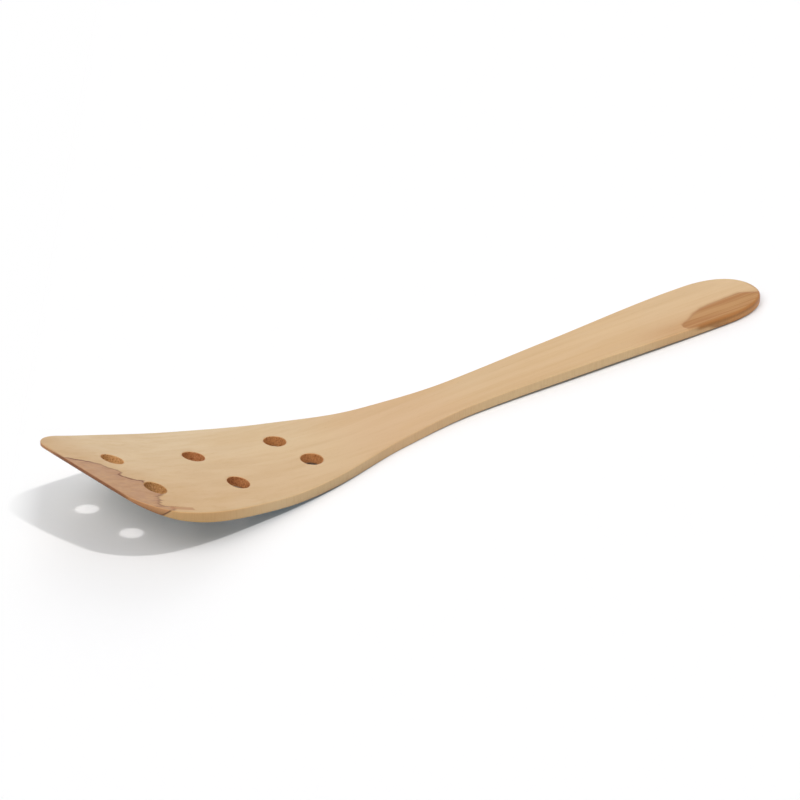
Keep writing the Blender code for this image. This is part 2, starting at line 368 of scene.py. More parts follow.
def outline():
    """The board's plan as one loop, counterclockwise from the middle of the near front corner."""
    half = FINE // 2
    near_front = front_corner(NEAR_CORNER, -1)
    far_front = front_corner(FAR_CORNER, 1)
    near_end = handle_corner(-1)
    far_end = handle_corner(1)
    edge_y = np.linspace(near_front[0, 1], far_front[0, 1], FINE)
    edge = np.stack((front(edge_y), edge_y), axis=-1)
    side_runs = {}
    for sign, corner, end in ((-1, near_front, near_end), (1, far_front, far_end)):
        x = np.linspace(corner[-1, 0], end[0, 0], FINE)
        straight = np.stack((x, side(x, sign)), axis=-1)
        side_runs[sign] = np.vstack((corner[half:], straight[1:-1], end[:half]))
    front_run = np.vstack((near_front[: half + 1][::-1], edge[1:-1], far_front[: half + 1]))
    runs = (
        spaced(side_runs[-1], ROWS),
        spaced(np.vstack((near_end[half - 1 :], far_end[half - 1 : -1][::-1])), COLUMNS),
        spaced(side_runs[1], ROWS)[::-1],
        spaced(front_run, COLUMNS)[::-1],
    )
    return np.vstack([run[:-1] for run in runs])


def inward(loop):
    """Unit normals of a counterclockwise loop, pointing into it."""
    along = np.roll(loop, -1, axis=0) - np.roll(loop, 1, axis=0)
    along /= np.linalg.norm(along, axis=1)[:, None]
    return np.stack((-along[:, 1], along[:, 0]), axis=-1)


def filled(loop):
    """Grid of plan points inside the loop, rows along the spatula and columns across it."""
    near = loop[: ROWS + 1]
    end = loop[ROWS : ROWS + COLUMNS + 1]
    far = loop[ROWS + COLUMNS : 2 * ROWS + COLUMNS + 1][::-1]
    front_run = np.vstack((loop[2 * ROWS + COLUMNS :], loop[:1]))[::-1]
    u = graded(ROWS)[:, None, None]
    v = graded(COLUMNS)[None, :, None]
    across = (1 - v) * near[:, None] + v * far[:, None]
    along = (1 - u) * front_run[None] + u * end[None]
    corners = (1 - u) * ((1 - v) * near[0] + v * far[0]) + u * ((1 - v) * near[-1] + v * far[-1])
    return across + along - corners


def blank_mesh():
    """The flat blank: both faces and the rings of the edge, all at one height.

    Each vertex knows its face (upper 1 or 0), the way into the board, and how far the edge has
    turned there, from 0 on the face to a quarter turn on the wall.
    """
    loop = outline()
    into = inward(loop)
    grid = filled(loop + into * SHELF)
    plan, way_in, upper, turned, faces = [], [], [], [], []

    def layer(points, ways, face, turn):
        start = len(plan)
        plan.extend(points)
        way_in.extend(ways)
        upper.extend([face] * len(points))
        turned.extend([turn] * len(points))
        return start + np.arange(len(points))

    flat = np.zeros((ROWS + 1) * (COLUMNS + 1) * 2).reshape(-1, 2)
    sheets = {}
    for face in (1.0, 0.0):
        sheets[face] = layer(grid.reshape(-1, 2), flat, face, 0.0).reshape(ROWS + 1, COLUMNS + 1)

    def rim(rows):
        return np.concatenate((rows[:-1, 0], rows[-1, :-1], rows[:0:-1, -1], rows[0, :0:-1]))

    angles = [math.pi / 2.0 * step / EDGE_STEPS for step in range(EDGE_STEPS + 1)]
    rings = [rim(sheets[1.0])]
    rings += [layer(loop, into, 1.0, angle) for angle in angles]
    rings += [layer(loop, into, 0.0, angle) for angle in reversed(angles)]
    rings.append(rim(sheets[0.0]))

    for face, order in ((1.0, 1), (0.0, -1)):
        rows = sheets[face]
        corners = np.stack((rows[:-1, :-1], rows[1:, :-1], rows[1:, 1:], rows[:-1, 1:]), axis=-1)
        faces.append(corners.reshape(-1, 4)[:, ::order])
    for above, below in zip(rings[:-1], rings[1:]):
        faces.append(np.stack((above, below, np.roll(below, -1), np.roll(above, -1)), axis=-1))

    mesh = bpy.data.meshes.new("flat_blank")
    points = np.column_stack((np.array(plan) - (LENGTH / 2.0, 0.0), np.zeros(len(plan))))
    mesh.from_pydata(points.tolist(), [], np.vstack(faces).tolist())
    for name, kind, values in (
        ("upper", "FLOAT", upper),
        ("turned", "FLOAT", turned),
        ("way_in", "FLOAT_VECTOR", np.column_stack((way_in, np.zeros(len(plan))))),
    ):
        field = mesh.attributes.new(name, kind, "POINT")
        field.data.foreach_set("vector" if kind == "FLOAT_VECTOR" else "value", np.ravel(values))
    return mesh


# The tree that sweeps the blank up into a blade

SWEEP_RULE = (
    # how thick the board is behind its front edge
    ("middle", "MULTIPLY", "Length", 0.5),
    ("from front", "ADD", "x", "middle"),
    ("half width", "MULTIPLY", "Blade Width", 0.5),
    ("share", "DIVIDE", "y", "half width"),
    ("share squared", "MULTIPLY", "share", "share"),
    ("bow", "MULTIPLY", "Front Bow", "share squared"),
    ("skew", "MULTIPLY", "Front Skew", "share"),
    ("front edge", "SUBTRACT", "bow", "skew"),
    ("behind front", "SUBTRACT", "from front", "front edge"),
    ("taper share", "DIVIDE", "behind front", "Taper Length"),
    ("taper left", "SUBTRACT", 1.0, "taper share"),
    ("taper above", "MAXIMUM", "taper left", 0.0),
    ("taper held", "MINIMUM", "taper above", 1.0),
    ("taper squared", "MULTIPLY", "taper held", "taper held"),
    ("fullness squared", "SUBTRACT", 1.0, "taper squared"),
    ("fullness", "SQRT", "fullness squared"),
    ("full", "SUBTRACT", "Thickness", "Front Thickness"),
    ("thickness", "MULTIPLY_ADD", "full", "fullness", "Front Thickness"),
    # how much thicker and hollower the handle is in its middle
    ("swell length", "SUBTRACT", "Length", "Swell Start"),
    ("into swell", "SUBTRACT", "from front", "Swell Start"),
    ("span share", "DIVIDE", "into swell", "swell length"),
    ("span above", "MAXIMUM", "span share", 0.0),
    ("span", "MINIMUM", "span above", 1.0),
    ("span left", "SUBTRACT", 1.0, "span"),
    ("span full", "MULTIPLY", "span", "span left"),
    ("span scaled", "MULTIPLY", "span full", 4.0),
    ("span shape", "MULTIPLY", "span scaled", "span scaled"),
    ("thicker by", "SUBTRACT", "Swell", "Hollow"),
    ("thickness here", "MULTIPLY_ADD", "span shape", "thicker by", "thickness"),
    # how high the top face stands
    ("bend length", "SUBTRACT", "Bend Start", "Lip Length"),
    ("ahead", "SUBTRACT", "Bend Start", "from front"),
    ("ahead held", "MAXIMUM", "ahead", 0.0),
    ("along bend", "MINIMUM", "ahead held", "bend length"),
    ("along squared", "MULTIPLY", "along bend", "along bend"),
    ("bend diameter", "MULTIPLY", "Bend Radius", 2.0),
    ("bend rise", "DIVIDE", "along squared", "bend diameter"),
    ("into lip", "SUBTRACT", "Lip Length", "from front"),
    ("lip", "MAXIMUM", "into lip", 0.0),
    ("lip slope", "DIVIDE", "bend length", "Bend Radius"),
    ("sweep", "MULTIPLY_ADD", "lip", "lip slope", "bend rise"),
    ("crown run", "DIVIDE", "ahead held", "Crown Run"),
    ("fade share", "MINIMUM", "crown run", 1.0),
    ("fade squared", "MULTIPLY", "fade share", "fade share"),
    ("fade turn", "MULTIPLY_ADD", "fade share", -2.0, 3.0),
    ("fade", "MULTIPLY", "fade squared", "fade turn"),
    ("twist", "MULTIPLY", "Twist", "share"),
    ("crown", "MULTIPLY", "Crown", "share squared"),
    ("warp", "SUBTRACT", "twist", "crown"),
    ("warped", "MULTIPLY_ADD", "warp", "fade", "sweep"),
    ("swollen", "MULTIPLY_ADD", "span shape", "Swell", "warped"),
    ("top", "ADD", "swollen", "Thickness"),
    # how the edge rounds over
    ("past grip", "SUBTRACT", "from front", "Grip At"),
    ("handle length", "SUBTRACT", "Handle At", "Grip At"),
    ("end share", "DIVIDE", "past grip", "handle length"),
    ("end above", "MAXIMUM", "end share", 0.0),
    ("end held", "MINIMUM", "end above", 1.0),
    ("rounder by", "SUBTRACT", "End Radius", "Edge Radius"),
    ("wanted radius", "MULTIPLY_ADD", "end held", "rounder by", "Edge Radius"),
    ("radius limit", "MULTIPLY", "thickness here", "Edge Share"),
    ("radius", "MINIMUM", "wanted radius", "radius limit"),
    ("sine", "SINE", "turned"),
    ("inset share", "SUBTRACT", 1.0, "sine"),
    ("inset", "MULTIPLY", "radius", "inset share"),
    ("cosine", "COSINE", "turned"),
    ("drop share", "SUBTRACT", 1.0, "cosine"),
    ("drop here", "MULTIPLY", "radius", "drop share"),
    # how far down from the top face a point lies, once its plan is right
    ("under", "SUBTRACT", 1.0, "upper"),
    ("to underside", "MULTIPLY", "thickness here", "under"),
    ("way down", "MULTIPLY_ADD", "upper", 2.0, -1.0),
    ("depth", "MULTIPLY_ADD", "drop", "way down", "to underside"),
    ("height", "SUBTRACT", "top", "depth"),
)


def sweep_tree(sizes):
    """Gives the flat blank its thickness and rounded edge, and sweeps, crowns and twists the blade."""
    tree, given = new_tree("sweep_the_blade", sizes)
    place = add(tree, "GeometryNodeInputPosition")
    parted = add(tree, "ShaderNodeSeparateXYZ", {"Vector": place}).outputs
    known = {label: given[label] for label in sizes}
    known.update(x=parted["X"], y=parted["Y"])
    for name in ("upper", "turned", "drop"):
        known[name] = add(tree, "GeometryNodeInputNamedAttribute", {"Name": name}, data_type="FLOAT")
    way_in = add(tree, "GeometryNodeInputNamedAttribute", {"Name": "way_in"}, data_type="FLOAT_VECTOR")
    for result, operation, *terms in SWEEP_RULE:
        fed = {i: known.get(term, term) for i, term in enumerate(terms)}
        known[result] = add(tree, "ShaderNodeMath", fed, operation=operation)

    point_value = {"data_type": "FLOAT", "domain": "POINT"}
    keep_drop = {"Geometry": given["Geometry"], "Name": "drop", "Value": known["drop here"]}
    piece = add(tree, "GeometryNodeStoreNamedAttribute", keep_drop, **point_value)
    moving_in = {"Vector": way_in, "Scale": known["inset"]}
    moved_in = add(tree, "ShaderNodeVectorMath", moving_in, operation="SCALE")
    piece = add(tree, "GeometryNodeSetPosition", {"Geometry": piece, "Offset": moved_in})
    keep_depth = {"Geometry": piece, "Name": "depth", "Value": known["depth"]}
    piece = add(tree, "GeometryNodeStoreNamedAttribute", keep_depth, **point_value)
    up = add(tree, "ShaderNodeCombineXYZ", {"Z": known["height"]})
    piece = add(tree, "GeometryNodeSetPosition", {"Geometry": piece, "Offset": up})
    piece = add(tree, "GeometryNodeRealizeInstances", {"Geometry": piece})
    piece = add(tree, "GeometryNodeSetMaterial", {"Geometry": piece, "Material": given["Wood"]})
    add(tree, "NodeGroupOutput", {"Geometry": piece})
    return tree


# The tree that drills the drain holes

# The rings of a cutter, counted from its lower end
RING_RULE = (
    # each rim has a ring more than steps, and one ring at each end stands outside the wood
    ("last", "MULTIPLY_ADD", "Rim Steps", 2.0, 3.0),
    ("rings", "ADD", "last", 1.0),
    ("from last", "SUBTRACT", "last", "index"),
    ("is upper", "LESS_THAN", "from last", "index"),
    ("ring", "MINIMUM", "index", "from last"),
    ("rings left", "SUBTRACT", "Rim Steps", "ring"),
    ("steps left", "ADD", "rings left", 1.0),
    ("turn share", "DIVIDE", "steps left", "Rim Steps"),
    ("turn held", "MINIMUM", "turn share", 1.0),
    ("turn", "MULTIPLY", "turn held", math.pi / 2.0),
    ("cosine", "COSINE", "turn"),
    ("spread", "SUBTRACT", 1.0, "cosine"),
    ("ring radius", "MULTIPLY_ADD", "Rim Radius", "spread", "Hole Radius"),
    ("sine", "SINE", "turn"),
    ("wall share", "SUBTRACT", 1.0, "sine"),
    ("rim drop", "MULTIPLY", "Rim Radius", "wall share"),
    ("is outside", "LESS_THAN", "ring", 0.5),
    ("reach", "MULTIPLY", "Reach", "is outside"),
    ("drop here", "SUBTRACT", "rim drop", "reach"),
    ("way", "MULTIPLY_ADD", "upper", -2.0, 1.0),
    ("way back", "MULTIPLY", "Probe", -1.0),
)


def drain_hole_tree(sizes):
    """Drills a hole square to the face at each place, and rounds its rim over on both faces."""
    tree, given = new_tree("drill_the_drain_holes", sizes)
    board = given["Geometry"]
    here = add(tree, "GeometryNodeInputPosition")
    axis = add(tree, "GeometryNodeInputNamedAttribute", {"Name": "hole_axis"}, data_type="FLOAT_VECTOR")

    # Each place drops on to the top face, and takes the hole's axis from the face there
    places = add(tree, "GeometryNodeObjectInfo", {"Object": given["Hole Places"]}).outputs["Geometry"]
    overhead = add(tree, "ShaderNodeVectorMath", {0: here, 1: (0.0, 0.0, OVERHEAD)}, operation="ADD")
    down = {"Target Geometry": board, "Source Position": overhead, "Ray Direction": (0.0, 0.0, -1.0)}
    met = add(tree, "GeometryNodeRaycast", down).outputs
    keep_axis = {"Geometry": places, "Name": "hole_axis", "Value": met["Hit Normal"]}
    places = add(tree, "GeometryNodeStoreNamedAttribute", keep_axis, data_type="FLOAT_VECTOR", domain="POINT")
    places = add(tree, "GeometryNodeSetPosition", {"Geometry": places, "Position": met["Hit Position"]})

    # The cutter is a rod whose rings flare at both ends
    known = {label: given[label] for label in sizes}
    known["index"] = add(tree, "GeometryNodeInputIndex")
    for name in ("upper", "drop"):
        known[name] = add(tree, "GeometryNodeInputNamedAttribute", {"Name": name}, data_type="FLOAT")
    for result, operation, *terms in RING_RULE:
        fed = {i: known.get(term, term) for i, term in enumerate(terms)}
        known[result] = add(tree, "ShaderNodeMath", fed, operation=operation)
    ends = {"Start": (0.0, 0.0, -ROD), "End": (0.0, 0.0, ROD)}
    rod = add(tree, "GeometryNodeCurvePrimitiveLine", ends)
    rod = add(tree, "GeometryNodeResampleCurve", {"Curve": rod, "Count": known["rings"]})
    for name, value in (("upper", "is upper"), ("drop", "drop here"), ("bore", "wall share")):
        keep = {"Geometry": rod, "Name": name, "Value": known[value]}
        rod = add(tree, "GeometryNodeStoreNamedAttribute", keep, data_type="FLOAT", domain="POINT")
    ring = {"Resolution": given["Steps Around"], "Radius": 1.0}
    ring = add(tree, "GeometryNodeCurvePrimitiveCircle", ring).outputs["Curve"]
    turned = {"Curve": rod, "Profile Curve": ring, "Scale": known["ring radius"], "Fill Caps": True}
    rod = add(tree, "GeometryNodeCurveToMesh", turned)

    # One cutter at each place, then each ring moves on to the face of the board that it works on
    square = add(tree, "FunctionNodeAlignRotationToVector", {"Vector": axis}, axis="Z")
    set_out = {"Points": places, "Instance": rod, "Rotation": square}
    cutters = add(tree, "GeometryNodeInstanceOnPoints", set_out)
    cutters = add(tree, "GeometryNodeRealizeInstances", {"Geometry": cutters})
    into = add(tree, "ShaderNodeVectorMath", {"Vector": axis, "Scale": known["way"]}, operation="SCALE")
    back = {"Vector": into, "Scale": known["way back"]}
    back = add(tree, "ShaderNodeVectorMath", back, operation="SCALE")
    source = add(tree, "ShaderNodeVectorMath", {0: here, 1: back}, operation="ADD")
    probing = {"Target Geometry": board, "Source Position": source, "Ray Direction": into}
    face = add(tree, "GeometryNodeRaycast", probing).outputs["Hit Position"]
    dropped = {"Vector": into, "Scale": known["drop"]}
    dropped = add(tree, "ShaderNodeVectorMath", dropped, operation="SCALE")
    ring_place = add(tree, "ShaderNodeVectorMath", {0: face, 1: dropped}, operation="ADD")
    cutters = add(tree, "GeometryNodeSetPosition", {"Geometry": cutters, "Position": ring_place})

    # The wood remembers where it is hole wall, and how deep under the top face it lies
    bore = add(tree, "GeometryNodeInputNamedAttribute", {"Name": "bore"}, data_type="FLOAT")
    depth = add(tree, "GeometryNodeInputNamedAttribute", {"Name": "depth"}, data_type="FLOAT")
    fallen = add(tree, "GeometryNodeRaycast", down).outputs["Hit Distance"]
    below = add(tree, "ShaderNodeMath", {0: OVERHEAD, 1: fallen}, operation="SUBTRACT")
    drilled = {}
    for label, solid, wall, deep in (("Mesh 1", board, 0.0, depth), ("Mesh 2", cutters, bore, below)):
        for name, value in (("bore", wall), ("depth", deep)):
            keep = {"Geometry": solid, "Name": name, "Value": value}
            solid = add(tree, "GeometryNodeStoreNamedAttribute", keep, data_type="FLOAT", domain="CORNER")
        drilled[label] = solid
    piece = add(tree, "GeometryNodeMeshBoolean", drilled, operation="DIFFERENCE", solver="EXACT")
    # Slivers that the cutting leaves along the rims close up
    closing = {"Geometry": piece.outputs["Mesh"], "Distance": given["Sliver"]}
    piece = add(tree, "GeometryNodeMergeByDistance", closing)
    piece = add(tree, "GeometryNodeRealizeInstances", {"Geometry": piece})
    piece = add(tree, "GeometryNodeSetMaterial", {"Geometry": piece, "Material": given["Wood"]})
    add(tree, "NodeGroupOutput", {"Geometry": piece})
    return tree


# The wood

WOOD_RULE = (
    # distance behind the heartwood's edge, square to it; the edge leans forward as it goes down
    ("rise", "SUBTRACT", "heart edge beside", "heart edge"),
    ("slope", "DIVIDE", "rise", HEART_BESIDE),
    ("slope squared", "MULTIPLY_ADD", "slope", "slope", 1.0),
    ("slant", "SQRT", "slope squared"),
    ("behind line", "SUBTRACT", "from front", "heart edge"),
    ("leaned", "MULTIPLY_ADD", "depth", HEART_LEAN * MM, "behind line"),
    ("past line", "DIVIDE", "leaned", "slant"),
    ("off line", "ABSOLUTE", "past line"),
    ("off line by place", "MULTIPLY_ADD", "mottle", -LINE_BLUR, "off line"),
    ("line fades", "MULTIPLY_ADD", "drift", *LINE_FADES),
    ("line above", "MAXIMUM", "line fades", LINE_FAINTEST),
    ("line strength", "MINIMUM", "line above", 1.0),
    # distance behind the dark crack that runs down the near side at the front corner
    ("past corner", "SUBTRACT", "from front", CRACK_AT),
    ("past crack", "MULTIPLY_ADD", "depth", CRACK_LEAN * MM, "past corner"),
    ("off crack", "ABSOLUTE", "past crack"),
    # distance from the middle of the dark dash beside the near side
    ("along dash", "SUBTRACT", "from front", DASH[0]),
    ("dash length", "ABSOLUTE", "along dash"),
    ("across dash", "SUBTRACT", "y", DASH[1]),
    ("dash tilt", "MULTIPLY_ADD", "along dash", DASH_TILT, "across dash"),
    ("dash width", "ABSOLUTE", "dash tilt"),
    # distance behind the front edge
    ("share", "DIVIDE", "y", BLADE_WIDTH * MM / 2.0),
    ("bow", "MULTIPLY", "share", FRONT_BOW * MM),
    ("bow less skew", "ADD", "bow", -FRONT_SKEW * MM),
    ("front edge", "MULTIPLY", "bow less skew", "share"),
    ("behind front", "SUBTRACT", "from front", "front edge"),
    # how far out in the tongue of heartwood in the handle, in mm past its edge
    ("tongue shake", "MULTIPLY_ADD", "drift", TONGUE_WANDER, -TONGUE_WANDER / 2.0),
    ("tongue across", "SUBTRACT", "y", "tongue shake"),
    ("short of turn", "SUBTRACT", TONGUE_TURN, "from front"),
    ("leaning", "MAXIMUM", "short of turn", 0.0),
    ("tongue straight", "MULTIPLY_ADD", "leaning", TONGUE_LEAN, "tongue across"),
    ("off middle", "SUBTRACT", "tongue straight", TONGUE_MIDDLE[0]),
    ("off level", "SUBTRACT", "z", TONGUE_MIDDLE[1]),
    ("off level wide", "MULTIPLY", "off level", TONGUE_THIN),
    ("off middle squared", "MULTIPLY", "off middle", "off middle"),
    ("off both squared", "MULTIPLY_ADD", "off level wide", "off level wide", "off middle squared"),
    ("off both", "SQRT", "off both squared"),
    ("past tongue", "SUBTRACT", "off both", "tongue half"),
    ("past tongue line", "ABSOLUTE", "past tongue"),
    ("from end", "SUBTRACT", LENGTH * MM, "from front"),
    ("past neck", "SUBTRACT", "from front", WARM_NECK),
    ("off neck", "ABSOLUTE", "past neck"),
    ("past middle pair", "SUBTRACT", "from front", MIDDLE_PAIR),
    ("off middle pair", "ABSOLUTE", "past middle pair"),
    ("steepness", "ABSOLUTE", "facing z"),
    ("end on", "ABSOLUTE", "facing x"),
)

# Soft masks: source, where it starts, where it is full, and how strong it then is
MASKS = (
    ("in figure", "figure", 0.36, 0.66, 0.8),
    ("in cloud", "cloud", 0.40, 0.66, 0.6),
    ("in streak", "streaks", 0.46, 0.80, 0.32),
    ("far side", "y", -24.0, 26.0, 1.0),
    ("towards front", "behind front", 26.0, 0.0, 0.75),
    ("along handle", "from front", 110.0, 230.0, 0.5),
    ("in fibre", "fibres", 0.50, 0.80, 0.25),
    ("in fleck", "flecks", 0.69, 0.78, 0.30),
    ("sawn edge", "steepness", 0.93, 0.45, 0.8),
    ("saw streak", "saw marks", 0.40, 0.75, 0.35),
    ("forward", "from front", 66.0, 30.0, 1.0),
    ("end grain", "end on", 0.35, 0.95, 0.8),
    ("in heart", "past line", 0.12, -0.12, 1.0),
    ("near line", "past line", -3.4, -0.2, 1.0),
    ("heart mottle", "mottle", 0.38, 0.66, 0.8),
    ("heart streak", "streaks", 0.42, 0.64, 0.7),
    ("on line", "off line by place", 0.46, -0.10, 0.90),
    ("along the dash", "dash length", 4.9, 3.8, 1.0),
    ("across the dash", "dash width", 1.20, 0.50, 0.75),
    ("on rim", "behind front", 0.80, 0.20, 0.78),
    ("near rim", "across", 14.0, 9.0, 1.0),
    ("rim fades", "across", -42.0, -12.0, 0.95),
    ("far rim", "behind front", 1.4, 0.5, 0.5),
    ("in tongue", "past tongue", 1.8, -1.2, 1.0),
    ("on tongue line", "past tongue line", 0.9, 0.1, 0.35),
    ("tongue streak", "streaks", 0.40, 0.62, 0.8),
    ("end rim", "from end", 2.2, 0.2, 0.7),
    ("ahead of crack", "past crack", 0.2, -0.2, 1.0),
    ("on crack", "off crack", 0.60, 0.10, 1.0),
    ("shade down the side", "depth", 0.0008, 0.0024, 1.0),
    ("on handle", "from front", 228.0, 252.0, 1.0),
    ("near half", "y", -3.5, -10.0, 1.0),
    ("at neck", "off neck", 40.0, 8.0, 1.0),
    ("towards end", "from front", 268.0, 280.0, 1.0),
    ("shade band begins", "from front", 259.0, 263.0, 1.0),
    ("near side", "y", -2.0, -6.0, 1.0),
    ("upper side", "z", 1.8, 3.2, 0.9),
    ("round the edge", "steepness", 0.99, 0.80, 1.0),
    ("front pair", "from front", 45.0, 35.0, 1.0),
    ("in bore", "bore", 0.25, 0.95, 1.0),
    ("dark grit", "grit", 0.50, 0.68, 0.8),
    ("light grit", "grit", 0.46, 0.32, 0.6),
    ("near middle pair", "off middle pair", 16.0, 10.0, 1.0),
)

# The colour is laid on coat by coat, each coat as far as all of its masks allow
BARE_WOOD = "d5b48a"
COATS = (
    # painted sheen: the far side of the top is paler and greyer, as a haze of the fill light on it
    ("MIX", "dbc099", "far side"),
    ("MIX", "cba474", "towards front"),
    ("MIX", "dbb687", "along handle"),
    ("MULTIPLY", "f7f1e9", "in figure"),
    ("MULTIPLY", "fffdf8", "in cloud"),
    ("MULTIPLY", "f0e6dc", "in streak"),
    ("MULTIPLY", "ece2d6", "in fibre"),
    ("MIX", "bf9268", "in heart"),
    ("MIX", "b2845e", "heart streak", "in heart"),
    ("MIX", "b68a68", "heart mottle", "in heart"),
    ("MIX", "a67a5a", "near line", "heart mottle", "in heart"),
    ("MIX", "703400", "on line", "line strength"),
    ("MIX", "b57e52", "along the dash", "across the dash"),
    ("MULTIPLY", "d8c4ae", "in fleck"),
    # painted light: the sawn sides are made paler than the faces, standing in for light thrown up on to them
    # from the white ground
    ("MIX", "f6cd98", "sawn edge"),
    ("MIX", "dba668", "sawn edge", "forward"),
    ("MIX", "cc9060", "sawn edge", "ahead of crack"),
    # painted shade: the side at the near front corner grows darker towards its underside
    ("MULTIPLY", "d3c5b7", "sawn edge", "ahead of crack", "shade down the side"),
    ("MIX", "5e2c10", "sawn edge", "on crack"),
    ("MULTIPLY", "f5eae0", "on handle", "near half"),
    ("MULTIPLY", "fdf6f2", "at neck"),
    ("MIX", "ba884e", "in tongue"),
    ("MULTIPLY", "e6d0b8", "tongue streak", "in tongue"),
    ("MULTIPLY", "d0a884", "on tongue line"),
    ("MIX", "da9654", "towards end", "near side", "sawn edge"),
    # painted shade: a dark band along the rounded upper edge of the near side, towards the end of the handle
    ("MIX", "b07234", "near side", "upper side", "shade band begins", "round the edge"),
    ("MULTIPLY", "eadccb", "saw streak", "sawn edge"),
    ("MULTIPLY", "ead2b8", "end grain"),
    ("MULTIPLY", "c99c76", "end rim"),
    ("MIX", "c08a58", "far rim"),
    # the dark line along the front edge: end grain, deepened with painted shade
    ("MIX", "7c4016", "on rim", "near rim", "rim fades"),
    ("MIX", "e4a264", "in bore"),
    ("MULTIPLY", "ecddd9", "near middle pair", "in bore"),
    ("MULTIPLY", "eff8f4", "front pair", "in bore"),
    ("MULTIPLY", "e6e2d6", "front pair", "in bore", "near half"),
    ("MULTIPLY", "e0ccb8", "saw streak", "in bore"),
    ("MULTIPLY", "cba28c", "dark grit", "in bore"),
    ("MIX", "eeb078", "light grit", "in bore"),
)


def boxwood_sanded_and_oiled():
    """Close-grained pale wood, sawn to shape, sanded fine and lightly oiled.

    To the eye it is an even satin tan with faint lengthwise streaks; a painted sheen pales its far
    side. End grain and hole walls drink more oil and are browner, and the dark line along the front
    edge is end grain deepened with painted shade. The sawn sides are made paler with painted light,
    browner towards the front, with painted shade low on the side at the near front corner and along
    the near upper edge at the end of the handle. The reddish heart of the tree shows at the near
    front corner, behind a thin crooked dark line, and as a tongue at the end of the handle.
    """
    material = bpy.data.materials.new("boxwood_sanded_and_oiled")
    material.use_nodes = True
    tree = material.node_tree
    shader = tree.nodes["Principled BSDF"]

    spot = add(tree, "ShaderNodeTexCoord").outputs
    place = add(tree, "ShaderNodeVectorMath", {"Vector": spot["Object"], "Scale": MM}, operation="SCALE")
    parted = add(tree, "ShaderNodeSeparateXYZ", {"Vector": place}).outputs
    facing = add(tree, "ShaderNodeSeparateXYZ", {"Vector": spot["Normal"]}).outputs
    known = {"x": parted["X"], "y": parted["Y"], "z": parted["Z"]}
    known.update({"facing x": facing["X"], "facing z": facing["Z"]})
    for name in ("bore", "depth"):
        known[name] = add(tree, "ShaderNodeAttribute", attribute_name=name).outputs["Fac"]

    # Streaks in the wood: length, width and thickness of one in mm, fineness, roughness. The grit is
    # for the holes' walls, and coarser than real pores, which are too fine to show
    for name, streak, fineness, roughness in (
        ("figure", (110.0, 8.0, 8.0), 2.0, 0.5),
        ("streaks", (60.0, 1.7, 1.7), 3.0, 0.6),
        ("fibres", (9.0, 0.40, 0.40), 3.0, 0.6),
        ("flecks", (3.0, 0.30, 0.30), 1.0, 0.5),
        ("cloud", (26.0, 10.0, 10.0), 2.0, 0.5),
        ("mottle", (5.0, 1.8, 1.8), 3.0, 0.6),
        ("wander", (1.6, 1.6, 1.6), 2.0, 0.6),
        ("drift", (9.0, 5.0, 5.0), 2.0, 0.5),
        ("saw marks", (0.5, 0.5, 6.0), 2.0, 0.6),
        ("grit", (0.55, 0.55, 0.55), 2.0, 0.6),
    ):
        shrunk = {"Vector": place, "Scale": tuple(1.0 / size for size in streak)}
        spread = add(tree, "ShaderNodeMapping", shrunk)
        noise = {"Vector": spread, "Scale": 1.0, "Detail": fineness, "Roughness": roughness}
        known[name] = add(tree, "ShaderNodeTexNoise", noise).outputs["Fac"]

    # Drawn curves: the edge of the heartwood at the front corner, read at the place itself and just
    # beside it, and the half width of the tongue of heartwood in the handle
    half = LENGTH * MM / 2.0
    from_front = add(tree, "ShaderNodeMath", {0: known["x"], 1: half}, operation="ADD")
    shaken = {0: known["wander"], 1: HEART_WANDER, 2: -HEART_WANDER / 2.0}
    shaken = add(tree, "ShaderNodeMath", shaken, operation="MULTIPLY_ADD")
    across = add(tree, "ShaderNodeMath", {0: known["y"], 1: shaken}, operation="ADD")
    beside = add(tree, "ShaderNodeMath", {0: across, 1: HEART_BESIDE}, operation="ADD")
    known.update({"from front": from_front, "across": across})
    for result, source, drawing, top_value in (
        ("heart edge", across, HEART_EDGE, HEART_REACHES),
        ("heart edge beside", beside, HEART_EDGE, HEART_REACHES),
        ("tongue half", from_front, TONGUE_WIDTHS, TONGUE_WIDEST),
    ):
        low, high = drawing[0][0], drawing[-1][0]
        share = add(tree, "ShaderNodeMapRange", {"Value": source, "From Min": low, "From Max": high})
        drawn = add(tree, "ShaderNodeFloatCurve", {"Value": share})
        line = drawn.mapping.curves[0].points
        while len(line) < len(drawing):
            line.new(0.5, 0.5)
        for point, (along, value) in zip(line, drawing):
            rise = (value - CURVES_BEGIN) / (top_value - CURVES_BEGIN)
            point.location = ((along - low) / (high - low), rise)
            point.handle_type = "VECTOR"
        drawn.mapping.update()
        ends = {"Value": drawn, "To Min": CURVES_BEGIN, "To Max": top_value}
        known[result] = add(tree, "ShaderNodeMapRange", ends, clamp=False)

    for result, operation, *terms in WOOD_RULE:
        fed = {i: known.get(term, term) for i, term in enumerate(terms)}
        known[result] = add(tree, "ShaderNodeMath", fed, operation=operation)
    for result, source, start, full, strength in MASKS:
        span = {"Value": known[source], "From Min": start, "From Max": full, "To Max": strength}
        known[result] = add(tree, "ShaderNodeMapRange", span, interpolation_type="SMOOTHSTEP")
    colour = linear(BARE_WOOD)
    for blend, code, mask, *limits in COATS:
        share = known[mask]
        for limit in limits:
            share = add(tree, "ShaderNodeMath", {0: share, 1: known[limit]}, operation="MULTIPLY")
        coat = {"Factor": share, "A": colour, "B": linear(code)}
        colour = add(tree, "ShaderNodeMix", coat, data_type="RGBA", blend_type=blend)
    feed(tree, colour, shader.inputs["Base Color"])

